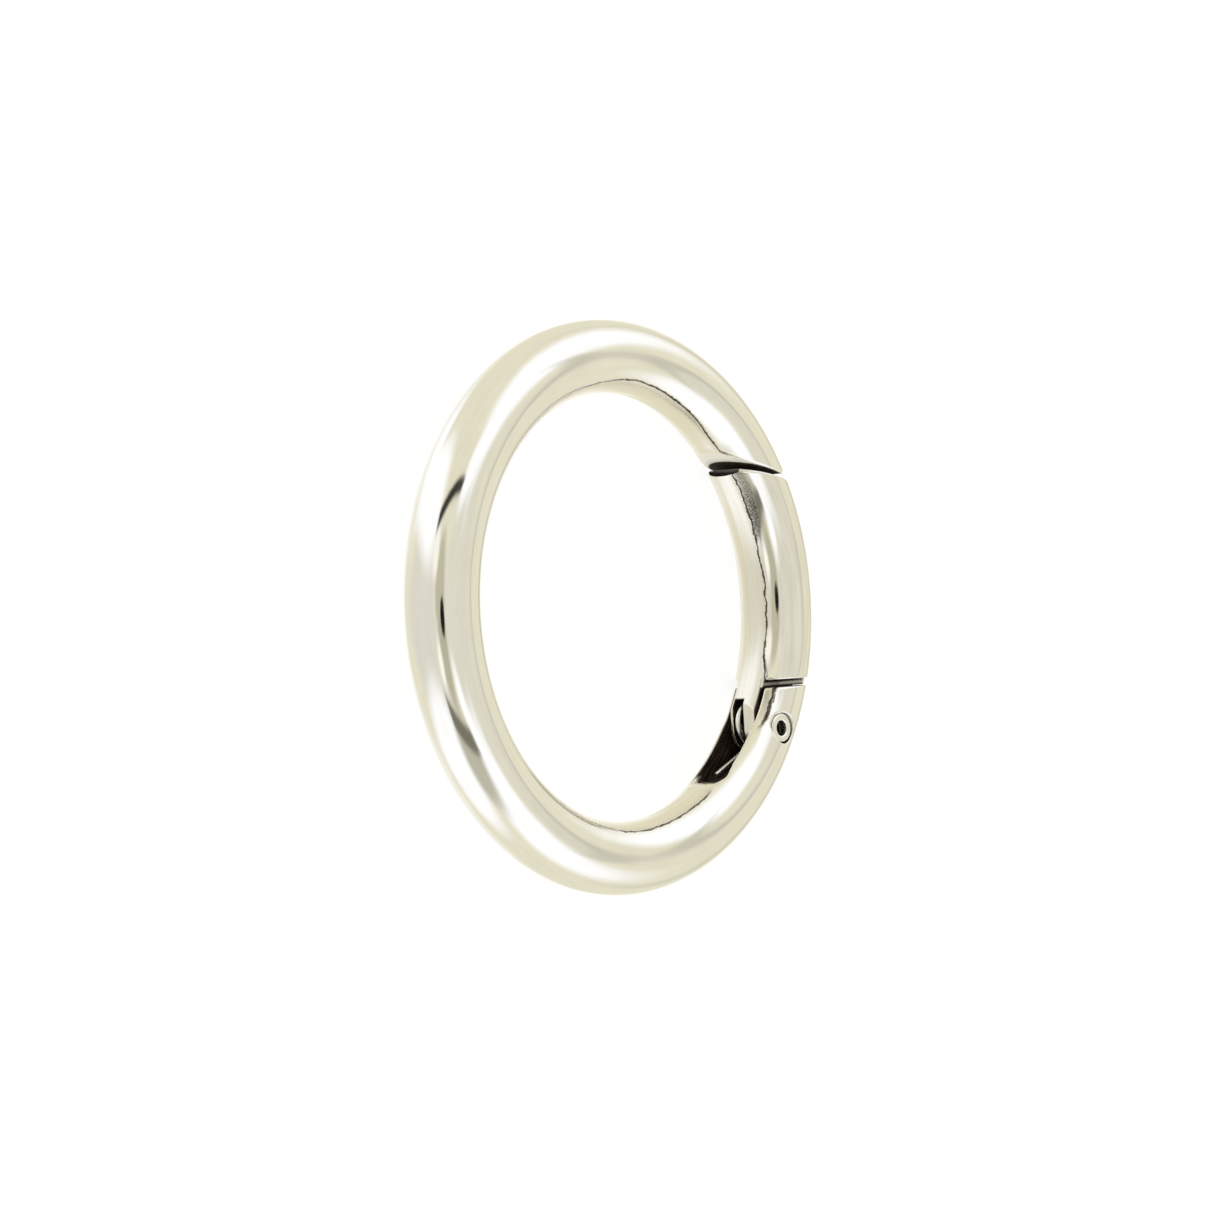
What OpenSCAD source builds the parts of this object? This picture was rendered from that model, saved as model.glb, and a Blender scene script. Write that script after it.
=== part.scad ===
// Spring-gate ring: a round ring with a curved gate that turns inward on a
// riveted hinge and is closed by a torsion spring. Millimetres. The ring lies
// flat, its axis is +Z, and the origin is the centre of its eye.

/* [Ring] */
// Inside diameter of the eye, across the narrow land
eye_d = 38; // [38:0.5:42]
// Diameter of the ring's round section
section_d = 6.6; // [6.4:0.1:7]
// Depth that the inner land is dressed below the round section
land_depth = 0.12; // [0.08:0.01:0.2]

/* [Latch end] */
// Height of the body's slanted latch face above the ring's centre
latch_y = 12.15; // [10:0.05:13]
// Slant of the body's latch face, in degrees
latch_slant = 14.5; // [12:0.5:15]
// Gap between the latch face and the gate's tip
latch_gap = 0.5; // [0.4:0.05:0.8]
// Slant of the gate's tip, in degrees
tip_slant = 11.5; // [10:0.5:12]
// Size of the cut across the tip's outer corner
tip_corner = 1.1; // [0.8:0.1:1.5]

/* [Hinge] */
// Angle of the hinge below the ring's X axis, in degrees
hinge_angle = 32.8; // [32:0.2:34]
// Distance of the hinge from the ring's centre
hinge_radius = 21.9; // [21.7:0.1:22.1]
// Height of the joint line between the gate's shoulder and the cheeks
shoulder_y = -7.78; // [-8:0.1:-7.4]
// Gap at the joint line
shoulder_gap = 0.4; // [0.3:0.05:0.5]
// Width of the slot between the cheeks
slot_w = 3.3; // [3.2:0.05:3.5]
// Width of the gate's tongue
tongue_w = 3.05; // [2.95:0.05:3.1]
// Radius of the tongue's ears about the hinge
ear_r = 1.95; // [1.8:0.05:2]
// Height of the end wall of the spring pocket
pocket_end_y = -16.3; // [-17:0.1:-16.2]

/* [Rivet] */
// Radius of the rivet's shank
shank_r = 1; // [0.95:0.05:1.05]
// Running clearance of the gate's ears round the shank
shank_clearance = 0.05; // [0.03:0.01:0.1]
// Radius of the rivet's bore
rivet_bore_r = 0.7; // [0.6:0.05:0.75]
// Radius of the rivet's rolled heads
head_r = 1.38; // [1.3:0.02:1.45]
// Thickness of the rivet's rolled heads
head_t = 0.3; // [0.2:0.05:0.45]

/* [Spring] */
// Diameter of the spring wire
wire_d = 0.5; // [0.4:0.05:0.5]
// Radius of the coil at the middle of the wire
coil_r = 1.85; // [1.8:0.01:1.88]
// Direction of the leg in the pocket, in degrees
pocket_leg_angle = 205; // [203:1:206]
// Length of the leg in the pocket
pocket_leg_len = 6.4; // [5:0.2:6.4]
// Length of the leg inside the gate
gate_leg_len = 5.6; // [4.5:0.2:5.8]

/* [Hidden] */
smooth = 96;                             // segments of round surfaces
section_r = section_d / 2;
ring_r = eye_d / 2 - land_depth + section_r;
outer_r = ring_r + section_r;
reach = outer_r + 5;                     // how far cutters run past the ring
past = 1;                                // how far a cutter runs into what it opens
gate_x = 12;                             // every cutter of the gate lies past this
pocket_x = 8;                            // every cutter of the slot and pocket lies past this
latch_x = 17.2;                          // where latch_y and latch_gap are measured

hinge = [hinge_radius * cos(hinge_angle), -hinge_radius * sin(hinge_angle)];
cheek_top = shoulder_y - shoulder_gap / 2;
shoulder = shoulder_y + shoulder_gap / 2;

wall_t = 1.68;                           // outer wall behind the slot
slot_floor_r = outer_r - wall_t;
ear_room = 0.25;                         // gap round the ears
neck_room = 0.15;                        // gap between the neck and the slot's floor
roof_y = -9.06;                          // where the tongue's inner face ends
channel_far = -1.1;                      // walls of the spring channel, along Z
channel_near = 0.09;
channel_x = 20.6;                        // outer side of the spring channel
channel_y = hinge[1] - 2 * ear_r;        // lower end of the channel, below the ears

coil_centre = hinge + [-0.2, 0.46];      // the coil sits loose on the shank, off its axis
coil_first_z = -0.82;                    // heights of the coil's two ends
coil_last_z = -0.2;
whole_turns = 1;                         // beyond the part turn between the legs
spring_seat = 0.03;                      // gap between the leg and the ramp it lies on
leg_hole_room = 0.1;                     // gap round the leg in its hole
leg_hole_r = wire_d / 2 + leg_hole_room;
leg_x = coil_centre[0] + coil_r;

leg_dir = [cos(pocket_leg_angle), sin(pocket_leg_angle)];
leg_normal = [-leg_dir[1], leg_dir[0]];  // from the coil's centre towards the ramp
leg_start = coil_centre + coil_r * leg_normal;
ramp_start = leg_start + (wire_d / 2 + spring_seat) * leg_normal;
ramp_end = ramp_start + leg_dir * (pocket_end_y - ramp_start[1]) / leg_dir[1];

head_seat = 2.75;                        // half the distance between the two heads
head_room = 0.04;                        // gap round a head in its counterbore

function latch_line(x, y0, slant) = [x, y0 - (x - latch_x) * tan(slant)];

// The whole round ring, with the land dressed inside it
module ring_solid() {
    difference() {
        rotate_extrude($fn = 2 * smooth)
            translate([ring_r, 0])
                circle(r = section_r, $fn = smooth);
        cylinder(h = section_d + 2 * past, r = eye_d / 2, center = true, $fn = 2 * smooth);
    }
}

// An outline in the ring's plane, thickened to both sides of it
module slab(width) {
    linear_extrude(height = width, center = true)
        children();
}

// The opening in the body that the gate closes
module gateway_outline() {
    polygon([
        latch_line(gate_x, latch_y, latch_slant),
        latch_line(reach, latch_y, latch_slant),
        [reach, cheek_top],
        [gate_x, cheek_top]
    ]);
}

// The slot between the cheeks, and the pocket and ramp that follow it
module slot_outline() {
    translate(hinge)
        circle(r = ear_r + ear_room, $fn = smooth);
    intersection() {
        circle(r = slot_floor_r, $fn = 2 * smooth);
        translate([pocket_x, hinge[1]])
            square([reach, shoulder - hinge[1] + past]);
    }
    polygon([
        hinge,
        ramp_start,
        ramp_end,
        [pocket_x, pocket_end_y],
        [pocket_x, hinge[1]]
    ]);
}

// Outline of the gate's arm, from its cut tip corner down to its shoulder
module arm_outline() {
    tip_y = latch_y - latch_gap;
    rise = tan(tip_slant);
    level = tip_y + latch_x * rise;
    corner_x = (rise * level + sqrt(outer_r ^ 2 * (1 + rise ^ 2) - level ^ 2)) / (1 + rise ^ 2);
    corner = latch_line(corner_x, tip_y, tip_slant);
    side_y = corner[1] - tip_corner;
    polygon([
        latch_line(gate_x, tip_y, tip_slant),
        latch_line(corner_x - tip_corner, tip_y, tip_slant),
        [sqrt(outer_r ^ 2 - side_y ^ 2), side_y],
        [reach, side_y],
        [reach, shoulder],
        [gate_x, shoulder]
    ]);
}

// Outline of the tongue: a neck that narrows to the round ears
module tongue_outline() {
    translate(hinge)
        circle(r = ear_r, $fn = smooth);
    intersection() {
        circle(r = slot_floor_r - neck_room, $fn = 2 * smooth);
        polygon([
            [gate_x, shoulder + past],
            [reach, shoulder + past],
            [sqrt(slot_floor_r ^ 2 - shoulder ^ 2), shoulder],
            [hinge[0] + ear_r, hinge[1]],
            [hinge[0] - ear_r, hinge[1]],
            [hinge[0] - ear_r, roof_y],
            [gate_x, roof_y]
        ]);
    }
}

// Fixed casting: plain ring, latch face, cheeks, slot and spring pocket
module ring_body() {
    color([0.86, 0.84, 0.78])
        difference() {
            ring_solid();
            slab(2 * section_d)
                gateway_outline();
            slab(slot_w)
                slot_outline();
            translate(hinge)
                cylinder(h = 2 * section_d, r = shank_r, center = true, $fn = smooth);
            for (side = [-1, 1])
                translate([hinge[0], hinge[1], side * (head_seat + section_d / 2)])
                    cylinder(h = section_d, r = head_r + head_room, center = true, $fn = smooth);
        }
}

// Moving casting: arm, neck, two ears, the spring channel and the leg's hole
module gate() {
    color([0.9, 0.88, 0.83])
        difference() {
            intersection() {
                ring_solid();
                union() {
                    slab(2 * section_d)
                        arm_outline();
                    slab(tongue_w)
                        tongue_outline();
                }
            }
            translate([gate_x, channel_y, channel_far])
                cube([channel_x - gate_x, roof_y - channel_y, channel_near - channel_far]);
            translate(hinge)
                cylinder(h = section_d, r = shank_r + shank_clearance, center = true, $fn = smooth);
            translate([leg_x, roof_y - past, coil_last_z])
                rotate([-90, 0, 0])
                    cylinder(h = gate_leg_len, r = leg_hole_r, $fn = smooth);
        }
}

// Tubular rivet: shank, bore and a rolled head at each end
module hinge_rivet() {
    roll_r = head_t / 2;
    color([0.82, 0.8, 0.75])
        translate(hinge)
            rotate_extrude($fn = smooth) {
                translate([rivet_bore_r, -head_seat])
                    square([shank_r - rivet_bore_r, 2 * head_seat]);
                for (side = [-1, 1]) {
                    translate([rivet_bore_r, side * (head_seat + roll_r) - roll_r])
                        square([head_r - roll_r - rivet_bore_r, head_t]);
                    translate([head_r - roll_r, side * (head_seat + roll_r)])
                        circle(r = roll_r, $fn = smooth / 2);
                }
            }
}

// The wire's outline round a point of its path, in the plane of side_dir and Z
function wire_ring(point, side_dir, sides) = [
    for (i = [0 : sides - 1])
        point + wire_d / 2 * (cos(360 * i / sides) * side_dir + sin(360 * i / sides) * [0, 0, 1])
];

// Torsion spring: pocket leg, coil and gate leg as one swept wire
module torsion_spring() {
    sides = 10;
    steps = 60;
    first_angle = pocket_leg_angle + 90;
    last_angle = 360 * (whole_turns + 1);
    angles = [for (i = [0 : steps]) first_angle + (last_angle - first_angle) * i / steps];
    coil = [
        for (i = [0 : steps])
            [
                coil_centre[0] + coil_r * cos(angles[i]),
                coil_centre[1] + coil_r * sin(angles[i]),
                coil_first_z + (coil_last_z - coil_first_z) * i / steps
            ]
    ];
    leg_tip = leg_start + pocket_leg_len * leg_dir;
    gate_tip = [leg_x, coil_centre[1] + gate_leg_len, coil_last_z];
    path = concat([[leg_tip[0], leg_tip[1], coil_first_z]], coil, [gate_tip]);
    inward = concat(
        [[-cos(first_angle), -sin(first_angle), 0]],
        [for (a = angles) [-cos(a), -sin(a), 0]],
        [[-cos(last_angle), -sin(last_angle), 0]]
    );
    n = len(path);
    rings = [for (i = [0 : n - 1]) wire_ring(path[i], inward[i], sides)];
    faces = concat(
        [[for (k = [0 : sides - 1]) k]],
        [
            for (i = [0 : n - 2])
                for (k = [0 : sides - 1])
                    [
                        i * sides + k,
                        (i + 1) * sides + k,
                        (i + 1) * sides + (k + 1) % sides,
                        i * sides + (k + 1) % sides
                    ]
        ],
        [[for (k = [sides - 1 : -1 : 0]) (n - 1) * sides + k]]
    );
    color([0.75, 0.74, 0.72])
        polyhedron([for (ring = rings) for (point = ring) point], faces, convexity = 10);
}

ring_body();
gate();
hinge_rivet();
torsion_spring();
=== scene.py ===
import math

import bpy
import numpy as np
from mathutils import Matrix, Vector


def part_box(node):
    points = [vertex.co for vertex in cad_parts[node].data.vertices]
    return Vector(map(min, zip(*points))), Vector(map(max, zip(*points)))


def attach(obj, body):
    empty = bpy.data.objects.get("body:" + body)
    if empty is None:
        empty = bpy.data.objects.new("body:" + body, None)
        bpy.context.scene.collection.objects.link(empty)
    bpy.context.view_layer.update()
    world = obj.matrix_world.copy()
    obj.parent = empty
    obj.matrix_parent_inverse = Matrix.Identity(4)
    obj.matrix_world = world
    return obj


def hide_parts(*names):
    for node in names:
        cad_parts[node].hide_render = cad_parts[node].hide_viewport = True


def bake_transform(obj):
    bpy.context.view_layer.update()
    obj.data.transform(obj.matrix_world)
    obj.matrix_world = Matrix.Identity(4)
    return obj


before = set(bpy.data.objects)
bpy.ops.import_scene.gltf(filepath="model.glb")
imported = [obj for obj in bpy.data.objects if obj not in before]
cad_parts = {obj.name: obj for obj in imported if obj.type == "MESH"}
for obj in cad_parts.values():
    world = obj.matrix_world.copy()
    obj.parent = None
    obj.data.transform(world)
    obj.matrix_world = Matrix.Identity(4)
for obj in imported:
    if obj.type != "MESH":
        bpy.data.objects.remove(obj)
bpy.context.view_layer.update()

MM = 0.001

# ---------------------------------------------------------------- The view and the light
# The ring lies flat on a pale table and is seen from the side away from the gate, from above.
# The light is that of a small studio: broad soft panels round a bare metal piece.

scene = bpy.context.scene
scene.view_settings.view_transform = "Standard"

view_distance = 376.3 * MM
view_tilt = math.radians(48.48)  # from straight above
view_roll = math.radians(-3.24)
view_from = Vector((-math.sin(view_tilt), 0, math.cos(view_tilt)))
level_right = Vector((math.cos(view_tilt), 0, math.sin(view_tilt)))
level_up = Vector((0, 1, 0))
view_right = math.cos(view_roll) * level_right + math.sin(view_roll) * level_up
view_up = -math.sin(view_roll) * level_right + math.cos(view_roll) * level_up

camera = bpy.data.objects.new("camera", bpy.data.cameras.new("camera"))
scene.collection.objects.link(camera)
scene.camera = camera
camera.data.sensor_width = 36
camera.data.lens = 126.3
camera.data.shift_x = -0.0078
camera.data.clip_start = 0.01
turn = Matrix((view_right, view_up, view_from)).transposed()
camera.matrix_world = Matrix.Translation(view_from * view_distance) @ turn.to_4x4()


class Wire:
    """A socket's output. Operators on it add Math nodes, and node() adds any other node."""

    def __init__(self, tree, socket=None):
        self.tree = tree
        self.socket = socket

    def node(self, kind, settings=None, inputs=None, out=0):
        made = self.tree.nodes.new(kind)
        for name, value in (settings or {}).items():
            setattr(made, name, value)
        for name, value in (inputs or {}).items():
            if isinstance(value, Wire):
                self.tree.links.new(value.socket, made.inputs[name])
            else:
                made.inputs[name].default_value = value
        return Wire(self.tree, made.outputs[out])

    def maths(self, operation, first, second=0.0, clamp=False):
        settings = {"operation": operation, "use_clamp": clamp}
        return self.node("ShaderNodeMath", settings, {0: first, 1: second})

    def __add__(self, other):
        return self.maths("ADD", self, other)

    __radd__ = __add__

    def __mul__(self, other):
        return self.maths("MULTIPLY", self, other)

    __rmul__ = __mul__

    def __sub__(self, other):
        return self.maths("SUBTRACT", self, other)

    def __rsub__(self, other):
        return self.maths("SUBTRACT", other, self)

    def __truediv__(self, other):
        return self.maths("DIVIDE", self, other)

    def clamped(self):
        return self.maths("ADD", self, 0.0, clamp=True)

    def size(self):
        return self.maths("ABSOLUTE", self)

    def smooth(self):
        """From 0 to 1 with soft ends, as the value goes from 0 to 1."""
        return self.node("ShaderNodeMapRange", {"interpolation_type": "SMOOTHSTEP"}, {"Value": self})

    def mix(self, first, second):
        """The first colour where this is 0, and the second where it is 1."""
        fill = {0: self, 6: first, 7: second}
        return self.node("ShaderNodeMix", {"data_type": "RGBA"}, fill, out=2)


def light_the_studio():
    """A cream room with soft white panels either side of the ring and below it, and a few dark flags."""
    world = bpy.data.worlds.new("studio")
    scene.world = world
    world.use_nodes = True
    tree = world.node_tree
    tree.nodes.clear()
    start = Wire(tree)
    towards = start.node("ShaderNodeTexCoord")
    parts = [start.node("ShaderNodeSeparateXYZ", None, {0: towards}, out=k) for k in range(3)]
    height = start.maths("ARCSINE", parts[2]) * math.degrees(1)
    around = start.maths("ARCTAN2", parts[1], parts[0]) * math.degrees(1)

    def pool(bearing, high, half_wide, half_tall, soft, lean=0.0):
        """A round-cornered pool of light, placed by its bearing and height, in degrees."""
        across = (around - bearing - lean * (height - high)) / half_wide
        up = (height - high) / half_tall
        reach = start.maths("SQRT", across * across + up * up)
        return ((1 - reach) / soft + 0.5).smooth()

    def strip(bearing, high, half_wide, half_tall, soft, lean=0.0):
        """A straight-sided panel or flag, placed the same way, with its soft edge in degrees."""
        across = around - bearing - lean * (height - high)
        wide = (half_wide - across.size()) / soft + 0.5
        tall = (half_tall - (height - high).size()) / soft + 0.5
        return wide.smooth() * tall.smooth()

    cream = (0.87, 0.84, 0.68)
    white = (1.17, 1.19, 1.24)
    room = [
        # shape, bearing, height, half width, half height, softness, lean, colour
        (strip, 0, 82, 200, 24, 22, 0, (0.8, 0.785, 0.68)),
        (pool, -180, 0, 36, 75, 0.5, 0, (0.8, 0.79, 0.71)),
        (pool, 180, 0, 36, 75, 0.5, 0, (0.8, 0.79, 0.71)),
        (pool, 10, -64, 110, 18, 0.9, 0, (1.02, 1.01, 0.95)),
        (pool, 98, -55, 30, 11, 1.0, 0, white),
        (pool, 0, -38, 27, 27, 0.8, 0, (1.14, 1.13, 1.08)),
        (pool, -127, -18, 30, 34, 0.7, -0.2, white),
        (pool, 135, -24, 22, 40, 0.7, 0.35, white),
        (pool, -82, 40, 38, 32, 0.7, -0.4, white),
        (pool, -125, 57, 32, 8, 0.8, 0, white),
        (pool, 60, 36, 33, 33, 0.7, 0.55, white),
        (pool, 98, 56, 26, 10, 0.8, 0, white),
        (pool, -14, 48, 26, 8, 1.2, 0, (0.79, 0.77, 0.67)),
        (pool, 0, 43, 40, 2, 1.2, 0, (0.64, 0.62, 0.53)),
        (pool, -8, -6, 40, 8, 1.2, 0, (0.72, 0.7, 0.58)),
        (pool, -124, 29, 22, 20, 0.8, 0, (0.56, 0.55, 0.46)),
        (pool, -172, 39, 30, 11, 0.5, 0, (0.54, 0.52, 0.4)),
        (pool, 172, 37, 26, 13, 0.5, 0, (0.58, 0.55, 0.42)),
        (pool, -163, 24, 9, 6, 0.9, 0, (1.1, 1.08, 1.0)),
        (pool, 157, 20, 9, 8, 0.9, 0, (1.1, 1.08, 1.0)),
        (strip, -134, 33, 7, 18, 6, 0.72, (0.2, 0.195, 0.15)),
        (strip, 132.5, 32, 4.5, 20, 4, -0.72, (0.01, 0.01, 0.01)),
    ]
    light = (*cream, 1)
    for shape, bearing, high, half_wide, half_tall, soft, lean, colour in room:
        light = shape(bearing, high, half_wide, half_tall, soft, lean).mix(light, (*colour, 1))

    lens_height = math.radians(43)
    lens_half = 0.115
    lens_at = Vector((-math.cos(lens_height), 0, math.sin(lens_height)))
    ends = {0: towards, 1: lens_at}
    lens_off = start.node("ShaderNodeVectorMath", {"operation": "DISTANCE"}, ends, out=1)
    lens = ((lens_half - lens_off) / 0.02).smooth()
    light = lens.mix(light, (0.004, 0.004, 0.004, 1))
    shade = start.node("ShaderNodeBackground", None, {"Color": light, "Strength": 1.0})
    ending = tree.nodes.new("ShaderNodeOutputWorld")
    tree.links.new(shade.socket, ending.inputs["Surface"])


light_the_studio()


def finish_tree(tree, surface):
    """Ends a material's tree with its output."""
    ending = tree.nodes.new("ShaderNodeOutputMaterial")
    tree.links.new(surface.socket, ending.inputs["Surface"])


def new_material(name):
    material = bpy.data.materials.new(name)
    material.use_nodes = True
    material.node_tree.nodes.clear()
    return material, Wire(material.node_tree)


table_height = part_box("ring_body")[0].z
table_half = 3.0
table_mesh = bpy.data.meshes.new("table")
table_mesh.from_pydata(
    [(x * table_half, y * table_half, table_height) for x, y in ((-1, -1), (1, -1), (1, 1), (-1, 1))],
    [],
    [(0, 1, 2, 3)],
)
table = bpy.data.objects.new("table", table_mesh)
scene.collection.objects.link(table)
table_material, start = new_material("white_table")
glow = start.node("ShaderNodeEmission", None, {"Color": (1, 1, 1, 1), "Strength": 0.88})
matt = start.node("ShaderNodeBsdfDiffuse", None, {"Color": (0.2, 0.2, 0.2, 1)})
finish_tree(table_material.node_tree, start.node("ShaderNodeAddShader", None, {0: glow, 1: matt}))
table_mesh.materials.append(table_material)
table.visible_glossy = False

# ---------------------------------------------------------------- The ring's body
# A C of round bar cast in zinc alloy, polished and nickel plated. Its inside is dressed to a narrow
# land with a fine crease along each edge, and its lower end is a fork: two cheeks either side of a
# slot for the gate's tongue, with a pocket behind it for the spring. Sizes are in millimetres.

eye_r = 19.0
section_r = 3.3
ring_r = 22.18
land_depth = 0.09
land_back = 2.75
hinge = np.array([18.408, -11.863])
cheek_top = -8.1
latch_x = 17.2
latch_y = 12.15
latch_slope = math.tan(math.radians(14.5))
edge_round = 0.22
slot_half = 1.68
slot_floor_r = 23.8
slot_left_x = 8.0
gateway_left_x = 12.0
ear_room_r = 2.2
pocket_end_y = -16.3
ramp_start = np.array([19.108, -13.334])  # under the spring's leg, where it leaves the coil
ramp_slant = math.radians(25)
shank_r = 1.0
head_seat = 2.75
head_hole_r = 1.42


def radius_of(p):
    return np.hypot(p[:, 0], p[:, 1])


def bearing_of(p):
    """The angle round the ring, in degrees from the middle of the gate's side."""
    return np.degrees(np.arctan2(p[:, 1], p[:, 0]))


def ramp(value, low, high):
    """From 0 to 1 with soft ends, as the value goes from low to high."""
    t = np.clip((value - low) / (high - low), 0, 1)
    return t * t * (3 - 2 * t)


def both(first, second, round_r=0.0):
    """What lies in both shapes, with the edge between them rounded. Distances are negative inside."""
    outside = np.hypot(np.maximum(first + round_r, 0), np.maximum(second + round_r, 0))
    return np.minimum(np.maximum(first, second), -round_r) + outside


def either(first, second):
    return np.minimum(first, second)


def disc(p, centre, r):
    return np.hypot(p[:, 0] - centre[0], p[:, 1] - centre[1]) - r


def wander(at, seed, size):
    """A small uneven wave along the ring, as a hand-dressed edge has."""
    wave = 0
    for rate, height in ((1.7, 1.0), (4.1, 0.6), (9.3, 0.45), (21.7, 0.3), (47.9, 0.2)):
        wave = wave + height * np.sin(math.radians(1) * at * rate * 3 + seed * rate)
    return size * wave


def land_edge(p, front):
    """How far a point lies inside the dressed land, from its front or its back edge."""
    return np.where(p[:, 2] > 0, front - p[:, 2], land_back + p[:, 2])


def round_bar(p, front, dressed=1.0):
    """The ring's round bar, with its inner land dressed a little below the round."""
    off_r = radius_of(p) - ring_r
    bar = np.hypot(off_r, p[:, 2]) - section_r
    inner = off_r < 0
    inside_land = land_edge(p, front)
    depth = land_depth * dressed * ramp(inside_land, -0.12, 0.12) * inner
    return both(bar + depth, eye_r - radius_of(p), 0.02)


def body_land_front(p):
    """Height of the body's front crease, which runs in towards the middle near its two ends."""
    at = bearing_of(p) % 360
    knots = [42.6, 44.5, 50, 56, 84, 262, 285, 298, 312, 327, 345]
    fronts = [1.75, 1.47, 1.42, 1.65, 2.33, 2.33, 1.85, 1.7, 1.8, 2.45, 2.5]
    return np.interp(at, knots, fronts) + wander(at, 0.3, 0.02)


def inner_side(p):
    """0 on the outer half of the bar and 1 on the side of the eye."""
    return ramp(ring_r - radius_of(p), 1.2, 3.0)


def pocket_end(p):
    """1 round the pocket's lower end, where its rim is broken well back."""
    return ramp(p[:, 1], -14.6, -16)


def beside_pocket(p):
    """1 along the pocket, where the land runs out in the cheek's rounded edge."""
    at = bearing_of(p) % 360
    return ramp(at, 296, 300) * ramp(at, 327, 322)


def body_bar(p):
    return round_bar(p, body_land_front(p), 1 - beside_pocket(p))


def body_edge_round(p):
    """Radius of the edge between the bar and what is cut into it."""
    y = p[:, 1]
    return edge_round + 0.38 * inner_side(p) * (y > 0) + 0.3 * pocket_end(p) * (y < 0)


def body_shape(p):
    x, y, z = p.T
    bar = body_bar(p)

    latch = (latch_y - (x - latch_x) * latch_slope - y) / math.hypot(1, latch_slope)
    gateway = both(both(-latch, cheek_top - y), gateway_left_x - x)
    shape = both(bar, -gateway, body_edge_round(p))
    far_cheek = ramp(z, -0.6, -1.2) * ramp(y, -15.8, -14.5) * (y < 0)
    shape = both(shape, eye_r + 0.22 * far_cheek - radius_of(p))

    above_ramp = (x - ramp_start[0]) * math.sin(ramp_slant) - (y - ramp_start[1]) * math.cos(ramp_slant)
    pocket = both(both(above_ramp, pocket_end_y - y), np.maximum(x - ramp_start[0], slot_left_x - x))
    pocket = both(pocket, y - hinge[1])
    swing = both(radius_of(p) - slot_floor_r, np.maximum(hinge[1] - y, slot_left_x - x))
    swing = both(swing, y - cheek_top - 1)
    slot = either(either(pocket, swing), disc(p, hinge, ear_room_r))
    slot = both(slot, np.abs(z) - slot_half, 0.2 + 0.5 * pocket_end(p) * (z > 0))
    shape = both(shape, -slot, body_edge_round(p))

    shape = both(shape, shank_r - np.hypot(x - hinge[0], y - hinge[1]))
    seat = both(disc(p, hinge, head_hole_r), head_seat - np.abs(z))
    return both(shape, -seat, 0.08)


def slopes(shape, p, step=0.004):
    """Which way a shape's distance grows at each point."""
    across = []
    for axis in range(3):
        shift = np.zeros(3)
        shift[axis] = step
        across.append(shape(p + shift) - shape(p - shift))
    return np.stack(across, 1) / (2 * step)


def ring_place(turns, rounds, outs):
    """Points from their angle round the ring, angle round the bar and distance from its middle."""
    turns, rounds, outs = np.broadcast_arrays(turns, rounds, outs)
    r = ring_r + outs * np.cos(rounds)
    return np.stack([r * np.cos(turns), r * np.sin(turns), outs * np.sin(rounds)], -1)


def spread(stops):
    """Angles in radians, from (end of a stretch, step) pairs in degrees."""
    angles = [stops[0]]
    for end, step in stops[1:]:
        count = max(1, round((end - angles[-1]) / step))
        angles += list(np.linspace(angles[-1], end, count + 1)[1:])
    return np.radians(np.array(angles))


def unit(vectors):
    return vectors / np.maximum(np.linalg.norm(vectors, axis=1, keepdims=True), 1e-9)


def no_further(moves, limit):
    return unit(moves) * np.minimum(np.linalg.norm(moves, axis=1, keepdims=True), limit)


def crossing(shape, inside, outside):
    """Where the line from a point inside a shape to a point outside meets its surface."""
    for _ in range(12):
        middle = (inside + outside) / 2
        within = (shape(middle) < 0)[:, None]
        inside = np.where(within, middle, inside)
        outside = np.where(within, outside, middle)
    return (inside + outside) / 2


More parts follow.
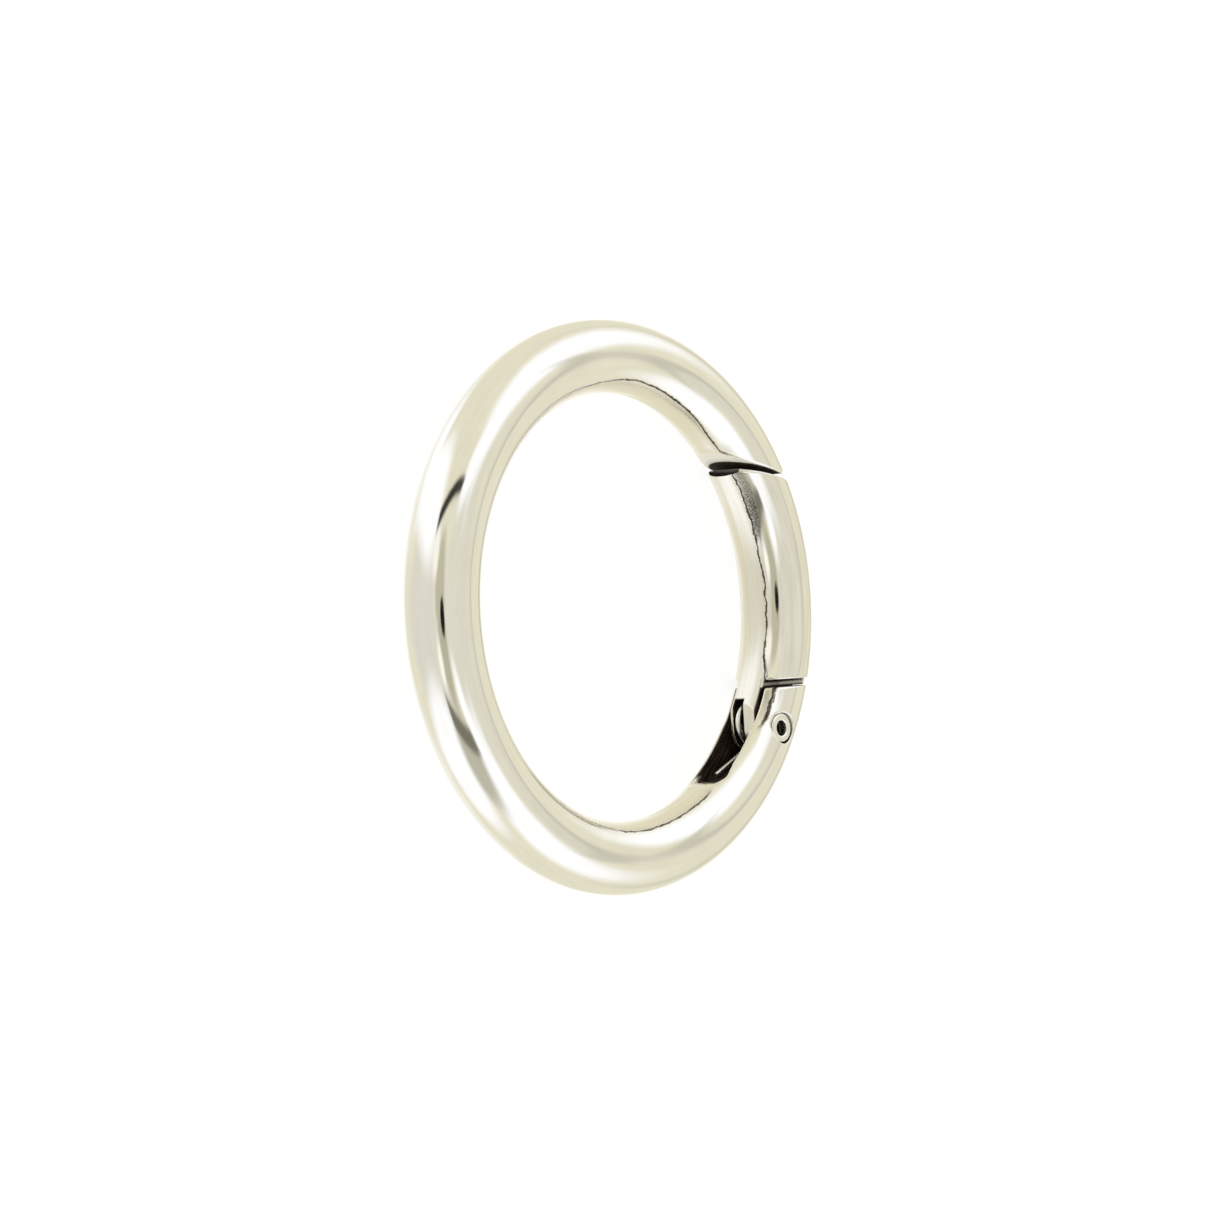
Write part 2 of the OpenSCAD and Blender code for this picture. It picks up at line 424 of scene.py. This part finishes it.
def skin(shape, turns, rounds, outs):
    """A closed mesh on a shape's surface, from a grid bent round the ring. Each grid line that crosses
    the surface gets a face, between four cells. Each cell's corner lies where the surface's planes in
    that cell meet, so that edges come out clean."""
    nt, nr, no = len(turns), len(rounds), len(outs)
    grid = ring_place(turns[:, None, None], rounds[None, :, None], outs[None, None, :])
    solid = shape(grid.reshape(-1, 3)).reshape(nt, nr, no) < 0
    after = np.roll(np.arange(nr), -1)

    def cell(a, b, c):
        return (a * nr + b % nr) * (no - 1) + c

    def four(*cells):
        return np.stack(cells, 1)

    a, b, c = np.nonzero(solid[:-1, :, 1:-1] != solid[1:, :, 1:-1])
    c = c + 1
    quads = [four(cell(a, b - 1, c - 1), cell(a, b, c - 1), cell(a, b, c), cell(a, b - 1, c))]
    ends = [(a, b, c, a + 1, b, c)]
    a, b, c = np.nonzero(solid[1:-1, :, 1:-1] != solid[1:-1, after, 1:-1])
    a, c = a + 1, c + 1
    quads.append(four(cell(a - 1, b, c - 1), cell(a, b, c - 1), cell(a, b, c), cell(a - 1, b, c)))
    ends.append((a, b, c, a, after[b], c))
    a, b, c = np.nonzero(solid[1:-1, :, :-1] != solid[1:-1, :, 1:])
    a = a + 1
    quads.append(four(cell(a - 1, b - 1, c), cell(a, b - 1, c), cell(a, b, c), cell(a - 1, b, c)))
    ends.append((a, b, c, a, b, c + 1))

    a0, b0, c0, a1, b1, c1 = np.concatenate([np.stack(part) for part in ends], 1)
    first, second = grid[a0, b0, c0], grid[a1, b1, c1]
    first_in = solid[a0, b0, c0][:, None]
    hits = crossing(shape, np.where(first_in, first, second), np.where(first_in, second, first))
    ways = unit(slopes(shape, hits))
    used, quads = np.unique(np.concatenate(quads), return_inverse=True)
    quads = quads.reshape(-1, 4)

    def gather(values):
        """Adds up, for each cell, what the crossings on its lines say."""
        total = np.zeros((len(used), *values.shape[1:]))
        for column in quads.T:
            np.add.at(total, column, values)
        return total

    count = gather(np.ones((len(hits), 1)))
    middle = gather(hits) / count
    facing = gather(ways)
    planes = gather(ways[:, :, None] * ways[:, None, :])
    aim = gather(ways * (ways * hits).sum(1, keepdims=True))[:, :, None] - planes @ middle[:, :, None]
    hold = 0.05 * count[:, :, None] * np.eye(3)
    move = np.linalg.solve(planes + hold, aim)[:, :, 0]
    points = middle + no_further(move, 0.15)

    # Where the planes nearly agree there is no edge, and the corner is moved on to the surface itself.
    even = np.linalg.norm(facing, axis=1) > 0.985 * count[:, 0]
    for _ in range(4):
        slope = slopes(shape, points[even])
        steepness = np.maximum((slope**2).sum(1), 0.2)
        fall = -slope * (shape(points[even]) / steepness)[:, None]
        points[even] += no_further(fall, 0.05)
    normals = unit(facing)
    normals[even] = unit(slopes(shape, points[even]))

    # Faces are turned to look outwards.
    across = points[quads]
    side = np.cross(across[:, 2] - across[:, 0], across[:, 3] - across[:, 1])
    inward = (side * ways).sum(1) < 0
    quads[inward] = quads[inward][:, ::-1]
    faces = quads.tolist()

    # Where the bar's middle line meets the surface, all cells share one corner, with a fan round it.
    for turn_number in np.nonzero(solid[:-1, 0, 0] != solid[1:, 0, 0])[0]:
        first, second = grid[turn_number, 0, 0][None], grid[turn_number + 1, 0, 0][None]
        inside, outside = (first, second) if solid[turn_number, 0, 0] else (second, first)
        hub = crossing(shape, inside, outside)
        hub_way = unit(slopes(shape, hub))
        rim = np.searchsorted(used, cell(turn_number, np.arange(nr), 0))
        spokes = points[rim] - hub
        fan = np.stack([rim, np.roll(rim, -1), np.full(nr, len(points))], 1)
        if (np.cross(spokes, np.roll(spokes, -1, 0)) * hub_way).sum() < 0:
            fan = fan[:, ::-1]
        points = np.concatenate([points, hub])
        normals = np.concatenate([normals, hub_way])
        faces += fan.tolist()
    return points, normals, faces


def cast_piece(name, shape, turns, rounds, outs, masks):
    """A piece made from its shape, with its normals and with the masks that its material reads."""
    points, normals, faces = skin(shape, turns, rounds, outs)
    mesh = bpy.data.meshes.new(name)
    mesh.from_pydata((points * MM).tolist(), [], faces)
    mesh.update()
    mesh.shade_smooth()
    mesh.normals_split_custom_set_from_vertices(normals.tolist())
    for label, mask in masks.items():
        layer = mesh.attributes.new(label, "FLOAT", "POINT")
        layer.data.foreach_set("value", mask(points).astype(np.float32))
    piece = bpy.data.objects.new(name, mesh)
    scene.collection.objects.link(piece)
    return piece


# The grid: finer round the ring at the latch and the hinge, and finer towards the bar's surface.
rounds = spread([0, (60, 4), (120, 2), (130, 3.3), (230, 1.5), (240, 3.3), (300, 2), (356, 4)])
outs = np.array([0, 0.3, 0.6, 0.9, 1.15, 1.35, *np.arange(1.5, 3.12, 0.1), 3.14, 3.4])
body_turns = spread([29, (46, 0.4), (296, 2.0), (340, 0.3)])


def crease_at(p, front):
    """How far a point lies inside the land's crease, in millimetres, or -1 on the outer side."""
    off_r = ring_r - radius_of(p)
    return np.where(off_r > 0.5, np.clip(land_edge(p, front), -1, 1), -1)


def body_crease(p):
    """The crease is wider beside the joint."""
    at = bearing_of(p) % 360
    return crease_at(p, body_land_front(p)) * (1 - 0.3 * ramp(at, 322, 326))


def body_crease_unshaded(p):
    """Where the land's crease gets no painted shade: along the pocket, and on the far side."""
    return np.maximum(beside_pocket(p), ramp(p[:, 2], 0, -0.5))


def matt_corner(p, depth, start, end):
    """1 on the inner corner of a latch face, which is left matt from the mould."""
    return ramp(depth, 0.03, 0.12) * ramp(ring_r - radius_of(p), start, end) * (p[:, 1] > 0)


def body_matt(p):
    return matt_corner(p, -body_bar(p), 0.9, 2.1)


def body_unpolished_shade(p):
    """Where the casting was never polished, painted near black as shade: the walls of the slot and the
    pocket, and the cut faces, with a painted shadow in the rivet head's gap.
    """
    x, y, z = p.T
    depth = -body_bar(p)
    rim = np.where(y > 0, 0.17 + 0.8 * inner_side(p), 0.85 * body_edge_round(p))
    cut = ramp(depth, rim, rim + 0.14) * (disc(p, hinge, 1.7) > 0)
    # Painted shadow in the gap round the rivet's head, on its lower right side only.
    lower_right = ramp(0.45 * (x - hinge[0]) - 0.9 * (y - hinge[1]), 0.1, 1.2)
    head_gap_shadow = ramp(depth, 0.04, 0.12) * (disc(p, hinge, head_hole_r + 0.05) < 0) * lower_right
    # Painted shade on the slot's rounded edge on the near cheek and on the far cheek's inner side, inside
    # the ring.
    near_wall = ramp(z, slot_half + 0.16, slot_half + 0.06) * ramp(y, -13.5, -12.5) * (z > 0)
    far_wall = ramp(z, -slot_half - 0.36, -slot_half - 0.26) * (z < 0)
    in_slot = (near_wall + far_wall) * ramp(depth, 0.03, 0.15) * ramp(y, -16.2, -15.6) * (y < 0)
    return np.max([cut, head_gap_shadow, in_slot * (radius_of(p) < ring_r)], 0)


body_masks = {"crease": body_crease, "clean": body_crease_unshaded, "unpolished_shade": body_unpolished_shade, "matt": body_matt}
ring_body = cast_piece("ring_body_casting", body_shape, body_turns, rounds, outs, body_masks)


nickel_plate = (0.9, 0.885, 0.84)


def shaded(colour, *shares):
    """A colour with each of its parts taken down to a share."""
    return (*[c * share for c, share in zip(colour, shares)], 1)


def nickel(name, crease_width, crease_jag, streak):
    """Bright nickel on polished zinc: almost a mirror, with buffing lines along the bar and a soft orange
    peel. The land is coarser, a painted dark line of shade runs along its crease, and deep places are
    unpolished cast faces painted near black as shade."""
    material, start = new_material(name)
    place = start.node("ShaderNodeTexCoord", out=3)
    x, y, z = [start.node("ShaderNodeSeparateXYZ", None, {0: place}, out=k) * (1 / MM) for k in range(3)]
    along = start.maths("ARCTAN2", y, x) * ring_r
    round_bar_at = start.maths("ARCTAN2", z, start.maths("SQRT", x * x + y * y) - ring_r) * section_r

    def noise(vector, scale, detail=2.0, rough=0.5):
        fill = {"Vector": vector, "Scale": scale, "Detail": detail, "Roughness": rough}
        return start.node("ShaderNodeTexNoise", None, fill)

    def lines(length, width):
        """Noise drawn out along the bar, for buffing lines of about this length and width in mm."""
        stretched = start.node("ShaderNodeCombineXYZ", None, {0: along / length, 1: round_bar_at / width})
        return noise(stretched, 1.0, 3.0, 0.6)

    cloud = noise(place, 260.0)
    grain = noise(place, 5200.0, 3.0)
    peel = noise(place, 700.0)
    fine_lines = lines(6.0, 0.16)
    broad_lines = lines(9.0, 0.7)

    def mask(label):
        return start.node("ShaderNodeAttribute", {"attribute_name": label}, out=2)

    edge = mask("crease")
    unpolished_shade = mask("unpolished_shade")
    worn = mask("worn")
    # The clean mask marks where the crease's painted shade is left off.
    clean = mask("clean")
    matt = mask("matt") * (1 - unpolished_shade)
    ragged = edge + (noise(place, 1500.0, 3.0, 0.7) - 0.5) * (4 * crease_jag)
    line = (crease_width * (0.5 + peel) - ragged.size()) / (0.5 * crease_width)
    crease = line.clamped() * (1 - clean)
    land = ((edge + 0.02) / 0.1).clamped()

    lined = ((broad_lines - 0.5) * 4 + 0.45).clamped() * streak
    scored = ((fine_lines - 0.6) * 7).clamped() * streak
    clouded = ((cloud - 0.35) * 2.2).clamped()
    tone = clouded.mix((*nickel_plate, 1), shaded(nickel_plate, 0.95, 0.95, 0.95))
    tone = lined.mix(tone, shaded(nickel_plate, 0.86, 0.84, 0.82))
    tone = (scored * 0.5).mix(tone, shaded(nickel_plate, 0.45, 0.45, 0.45))
    tone = (land * (0.2 + 0.6 * fine_lines)).mix(tone, shaded(nickel_plate, 0.93, 0.89, 0.78))
    speckle = ((noise(place, 9000.0, 2.0) - 0.42) * 6).clamped()
    tone = (worn * (0.35 + 0.65 * speckle)).clamped().mix(tone, (0.1, 0.095, 0.085, 1))
    # Painted shade: a dark brown line along the land's crease.
    tone = (crease * (0.7 + 0.5 * grain)).clamped().mix(tone, (0.055, 0.04, 0.02, 1))
    brushed = ((lines(3.0, 0.22) - 0.45) * 4).clamped()
    # Painted shade: unpolished faces in the slot, the pocket, the joint and the other gaps and recesses
    # are given a near-black colour.
    cast = brushed.mix((0.008, 0.005, 0.003, 1), (0.085, 0.052, 0.034, 1))
    tone = matt.mix(tone, (0.9, 0.87, 0.78, 1))
    tone = unpolished_shade.mix(tone, cast)

    rough = 0.06 + 0.05 * cloud + 0.06 * lined + land * (0.1 + 0.16 * fine_lines)
    rough = rough + 0.3 * crease + 0.2 * worn + 0.45 * unpolished_shade + 0.4 * matt
    height = peel * 0.3 + fine_lines * (0.12 + 0.5 * land)
    height = height + grain * (0.02 + 0.5 * unpolished_shade + 0.3 * worn) - 2 * crease
    bump = start.node("ShaderNodeBump", None, {"Height": height, "Strength": 0.25, "Distance": 0.00002})
    fill = {
        "Base Color": tone,
        "Metallic": 1 - 0.8 * unpolished_shade - 0.75 * matt,
        "Roughness": rough.clamped(),
        "Specular IOR Level": 0.2,
        "Normal": bump,
    }
    finish_tree(material.node_tree, start.node("ShaderNodeBsdfPrincipled", None, fill))
    return material


ring_body.data.materials.append(nickel("body_nickel", 0.14, 0.07, 0.25))
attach(ring_body, "ring")
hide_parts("ring_body")

# ---------------------------------------------------------------- The gate
# The moving quarter of the ring, cast and plated as the body is. Its tip is cut a little askew to the
# body's latch face, and below its shoulder a tongue runs between the cheeks and ends in two round
# ears on the rivet. The spring works in the channel between the ears.

latch_gap = 0.5
tip_slope = math.tan(math.radians(11.5))
shoulder = -7.46
tongue_half = 1.46
ear_r = 1.95
neck_r = slot_floor_r - 0.15
roof_y = -9.06
channel_far = -1.1
channel_near = 0.09
channel_x = 20.6
ear_bore_r = 1.05
leg_x = 20.058
leg_z = -0.2
leg_hole_r = 0.35
leg_hole_top = -4.46


def gate_land_front(p):
    """Height of the gate's front crease, which is less straight than the body's."""
    at = bearing_of(p)
    return 1.27 + 0.42 * (1 - ramp(at, -24, -16)) + wander(at, 1.9, 0.07)


def gate_bar(p):
    return round_bar(p, gate_land_front(p))


def gate_tip_round(p):
    """Radius of the edge round the tip's face."""
    return edge_round + 0.35 * inner_side(p)


def gate_shape(p):
    x, y, z = p.T
    bar = gate_bar(p)

    tip = (y - latch_y + latch_gap + (x - latch_x) * tip_slope) / math.hypot(1, tip_slope)
    arm = both(bar, tip, gate_tip_round(p))
    outer_corner = (x - 22.5) * 0.62 + (y - 10.9) * 0.78
    arm = both(arm, outer_corner, 0.8)
    arm = both(arm, shoulder - y, edge_round)

    ears = disc(p, hinge, ear_r)
    neck = both(both(hinge[1] - y, y - shoulder - 1.0), radius_of(p) - neck_r)
    outer_side = (x - hinge[0] - ear_r) - (y - hinge[1]) * 0.5
    left_side = np.where(y < roof_y, hinge[0] - ear_r - x, -20)
    neck = both(neck, np.maximum(outer_side, left_side))
    collar = both(cheek_top + 0.03 - y, y - shoulder - 1.0)
    tongue = both(either(either(ears, neck), collar), np.abs(z) - tongue_half, 0.12)
    tongue = both(tongue, np.where(radius_of(p) > ring_r, bar + 0.08, bar), 0.1)
    shape = either(arm, tongue)

    beside_channel = np.abs(z - (channel_near + channel_far) / 2) - (channel_near - channel_far) / 2
    channel = both(both(beside_channel, y - roof_y), x - channel_x)
    shape = both(shape, -channel, 0.1)
    shape = both(shape, ear_bore_r - np.hypot(x - hinge[0], y - hinge[1]))
    leg_hole = np.maximum(np.hypot(x - leg_x, z - leg_z) - leg_hole_r, y - leg_hole_top)
    return np.maximum(shape, -leg_hole)


def gate_crease(p):
    return crease_at(p, gate_land_front(p))


def gate_unpolished_shade(p):
    """Unpolished faces painted near black as shade: the channel, the bore and the leg's hole, the tip's
    face and the tongue's sides in the joint.
    """
    x, y, z = p.T
    depth = -gate_bar(p)
    in_channel = ramp(y, roof_y + 0.15, roof_y - 0.05) * (x < channel_x + 0.05)
    in_channel = in_channel * (z > channel_far - 0.04) * (z < channel_near + 0.04)
    in_bore = ramp(np.hypot(x - hinge[0], y - hinge[1]), ear_bore_r + 0.12, ear_bore_r + 0.03)
    tip_face = ramp(depth, 0.26, 0.41) * ramp(ring_r - radius_of(p), 1.0, 0.2) * (y > 0)
    # Painted shade in the joint between the shoulder and the cheeks' tops, with a lighter painted strip
    # across its middle.
    lit_strip = ramp(y, shoulder - 0.2, shoulder - 0.26) * ramp(y, cheek_top + 0.14, cheek_top + 0.2)
    joint_shade = ramp(depth, 0.1, 0.3) * (y < shoulder + 0.12) * (y > cheek_top) * (1 - 0.6 * lit_strip)
    side = ramp(np.abs(z), tongue_half - 0.12, tongue_half - 0.04) * (y < cheek_top + 0.05)
    side = side * (depth > -0.1)
    return np.max([in_channel, in_bore, tip_face, joint_shade, side], 0)


def gate_crease_unshaded(p):
    """The land's crease on the far side gets no painted shade."""
    return ramp(p[:, 2], 0, -0.5)


def gate_matt(p):
    return matt_corner(p, -gate_bar(p), 0.2, 1.0)


def gate_worn(p):
    """A dull wedge beside the crease below the tip, where the plating has worn."""
    at = bearing_of(p)
    beside = p[:, 2] - gate_land_front(p)
    wide = 0.85 * ramp(at, 13, 23)
    wedge = ramp(beside, -0.02, 0.05) * ramp(beside, wide + 0.06, wide - 0.06) * ramp(at, 13, 18)
    return wedge * (0.5 + 0.5 * ramp(at, 36, 25)) * (radius_of(p) < ring_r)


gate_turns = spread([-45, (-18, 0.3), (22, 0.6), (37, 0.4)])
gate_masks = {
    "crease": gate_crease,
    "clean": gate_crease_unshaded,
    "unpolished_shade": gate_unpolished_shade,
    "matt": gate_matt,
    "worn": gate_worn,
}
gate = cast_piece("gate_casting", gate_shape, gate_turns, rounds, outs, gate_masks)
gate.data.materials.append(nickel("gate_nickel", 0.13, 0.11, 0.7))
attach(gate, "gate")
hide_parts("gate")

# ---------------------------------------------------------------- The rivet
# A tubular steel rivet through both cheeks and the gate's ears. Its ends are rolled over into rings
# that sit in the cheeks' counterbores.

rivet_bore_r = 0.7
rivet_wall_r = (rivet_bore_r + shank_r) / 2
head_r = 1.32
head_t = 0.28


def new_tree(name, size):
    """A Geometry Nodes tree that takes an outline, one named size and a material."""
    tree = bpy.data.node_groups.new(name, "GeometryNodeTree")
    tree.interface.new_socket("Outline", in_out="INPUT", socket_type="NodeSocketGeometry")
    tree.interface.new_socket(size, in_out="INPUT", socket_type="NodeSocketFloat")
    tree.interface.new_socket("Material", in_out="INPUT", socket_type="NodeSocketMaterial")
    tree.interface.new_socket("Piece", in_out="OUTPUT", socket_type="NodeSocketGeometry")
    start = Wire(tree)
    inputs = tree.nodes.new("NodeGroupInput")
    given = {socket.name: Wire(tree, socket) for socket in inputs.outputs}
    outline = start.node("GeometryNodeMeshToCurve", None, {"Mesh": given["Outline"]})
    return tree, start, given, outline


def finish_geometry(tree, start, mesh, given):
    """Ends a tree: smooth faces, real geometry and the piece's material."""
    smooth = start.node("GeometryNodeSetShadeSmooth", None, {"Geometry": mesh})
    real = start.node("GeometryNodeRealizeInstances", None, {"Geometry": smooth})
    finish = {"Geometry": real, "Material": given["Material"]}
    painted = start.node("GeometryNodeSetMaterial", None, finish)
    ending = tree.nodes.new("NodeGroupOutput")
    tree.links.new(painted.socket, ending.inputs["Piece"])
    return tree


def turning_tree():
    """A closed outline turned round an upright axis."""
    tree, start, given, outline = new_tree("outline_round_axis", "Turning radius")
    circle = {"Resolution": 128, "Radius": given["Turning radius"]}
    ring = start.node("GeometryNodeCurvePrimitiveCircle", None, circle)
    turned = start.node("GeometryNodeCurveToMesh", None, {"Curve": ring, "Profile Curve": outline})
    return finish_geometry(tree, start, turned, given)


def run_tree(name, tree, points, closed, values):
    """Runs a tree on an outline of points and returns the plain mesh as a new object."""
    outline = bpy.data.meshes.new(name + "_outline")
    links = [(n, n + 1) for n in range(len(points) - 1)]
    if closed:
        links.append((len(points) - 1, 0))
    outline.from_pydata([tuple(MM * v for v in p) for p in points], links, [])
    holder = bpy.data.objects.new(name, outline)
    scene.collection.objects.link(holder)
    modifier = holder.modifiers.new("make", "NODES")
    modifier.node_group = tree
    for item in tree.interface.items_tree:
        if item.name in values:
            modifier[item.identifier] = values[item.name]
    bpy.context.view_layer.update()
    finished = holder.evaluated_get(bpy.context.evaluated_depsgraph_get())
    made = bpy.data.meshes.new_from_object(finished)
    holder.modifiers.clear()
    holder.data = made
    return holder


def rivet_outline():
    """The rivet's section: its rolled top, then the same upside down. The first number of a point is
    its distance from the middle of the wall."""
    lip_r = (head_r - rivet_bore_r) / 2
    half = []
    for step in range(13):
        angle = math.radians(180 - 15 * step)
        r = rivet_bore_r + lip_r + lip_r * math.cos(angle)
        half.append((r, head_seat + head_t * 0.5 + head_t * 0.5 * math.sin(angle)))
    half.append((head_r - 0.04, head_seat + 0.05))
    half.append((head_r - 0.1, head_seat))
    half.append((shank_r + 0.02, head_seat))
    half.append((shank_r - 0.01, head_seat - 0.1))
    mirrored = [(r, -z) for r, z in reversed(half)]
    return [(r - rivet_wall_r, z, 0) for r, z in half + mirrored]


def rivet_metal():
    """Nickel-plated steel, a little worn on the rolled edge, with painted shade in the bore and round the
    foot of each rolled head.
    """
    material, start = new_material("rivet_nickel")
    place = start.node("ShaderNodeTexCoord", out=3)
    to_axis = (-hinge[0] * MM, -hinge[1] * MM, 0)
    centred = start.node("ShaderNodeMapping", None, {"Vector": place, "Location": to_axis})
    x, y, z = [start.node("ShaderNodeSeparateXYZ", None, {0: centred}, out=k) for k in range(3)]
    from_axis = start.maths("SQRT", x * x + y * y) * (1 / MM)
    high = z.size() * (1 / MM)
    grain = start.node("ShaderNodeTexNoise", None, {"Vector": place, "Scale": 3200.0, "Detail": 3.0})
    # Painted shade: dark in the bore, and round each head's foot where it meets the counterbore.
    bore = ((rivet_bore_r + 0.1 - from_axis) / 0.1).clamped()
    bore = bore * ((head_seat - 0.35 - high) / 0.35).clamped()
    foot = ((from_axis - head_r + 0.1) / 0.09).clamped() * ((head_seat + 0.1 - high) / 0.1).clamped()
    rivet_shade = (bore + foot).clamped()
    tone = (grain * 0.5).mix((*nickel_plate, 1), (0.8, 0.78, 0.73, 1))
    tone = rivet_shade.mix(tone, (0.04, 0.034, 0.026, 1))
    bump = start.node("ShaderNodeBump", None, {"Height": grain, "Strength": 0.3, "Distance": 0.00001})
    fill = {
        "Base Color": tone,
        "Metallic": 1.0 - 0.4 * rivet_shade,
        "Roughness": 0.12 + 0.1 * grain + 0.3 * rivet_shade,
        "Normal": bump,
    }
    finish_tree(material.node_tree, start.node("ShaderNodeBsdfPrincipled", None, fill))
    return material


rivet = run_tree(
    "hinge_rivet_turned",
    turning_tree(),
    rivet_outline(),
    True,
    {"Turning radius": rivet_wall_r * MM, "Material": rivet_metal()},
)
rivet.data.transform(Matrix.Translation((hinge[0] * MM, hinge[1] * MM, 0)))
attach(rivet, "ring")
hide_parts("hinge_rivet")

# ---------------------------------------------------------------- The spring
# One length of drawn steel wire: a leg that bears on the pocket's ramp, a turn and a bit round the
# rivet between the ears, and a leg that stands in a hole up the inside of the gate.

wire_r = 0.25
coil_r = 1.85
coil_centre = hinge + np.array([-0.2, 0.46])
coil_first_z = -0.82
coil_last_z = -0.2
pocket_leg_angle = 205
pocket_leg_len = 6.4
gate_leg_len = 5.6


def sweep_tree():
    """A round wire along a path."""
    tree, start, given, path = new_tree("wire_along_path", "Wire radius")
    section = {"Resolution": 20, "Radius": given["Wire radius"]}
    ring = start.node("GeometryNodeCurvePrimitiveCircle", None, section)
    sweep = {"Curve": path, "Profile Curve": ring, "Fill Caps": True}
    wire = start.node("GeometryNodeCurveToMesh", None, sweep)
    return finish_geometry(tree, start, wire, given)


def spring_path():
    """The wire's middle line, from the pocket leg's end to the gate leg's."""
    first = pocket_leg_angle + 90
    last = 2 * 360
    leg_turn = math.radians(pocket_leg_angle)
    leg_dir = np.array([math.cos(leg_turn), math.sin(leg_turn)])
    points = []
    for share in np.linspace(0, 1, 145):
        angle = math.radians(first + (last - first) * share)
        at = coil_centre + coil_r * np.array([math.cos(angle), math.sin(angle)])
        points.append((*at, coil_first_z + (coil_last_z - coil_first_z) * share))
    leg_start = np.array(points[0][:2])
    leg = []
    for share in (1, 0.75, 0.5, 0.25, 0.06):
        leg.append((*(leg_start + leg_dir * pocket_leg_len * share), coil_first_z))
    coil_end = points[-1]
    rise = []
    for share in (0.06, 0.3, 0.6, 1):
        rise.append((coil_end[0], coil_end[1] + gate_leg_len * share, coil_last_z))
    return leg + points + rise


def spring_wire():
    """Drawn spring wire: a fine grain and a dull shine."""
    material, start = new_material("spring_steel")
    place = start.node("ShaderNodeTexCoord", out=3)
    grain = start.node("ShaderNodeTexNoise", None, {"Vector": place, "Scale": 2600.0, "Detail": 3.0})
    tone = grain.mix((0.8, 0.78, 0.74, 1), (0.95, 0.94, 0.9, 1))
    bump = start.node("ShaderNodeBump", None, {"Height": grain, "Strength": 0.3, "Distance": 0.00001})
    fill = {"Base Color": tone, "Metallic": 1.0, "Roughness": 0.24 + 0.14 * grain, "Normal": bump}
    finish_tree(material.node_tree, start.node("ShaderNodeBsdfPrincipled", None, fill))
    return material


spring = run_tree(
    "torsion_spring_wire",
    sweep_tree(),
    spring_path(),
    False,
    {"Wire radius": wire_r * MM, "Material": spring_wire()},
)
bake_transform(spring)
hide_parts("torsion_spring")
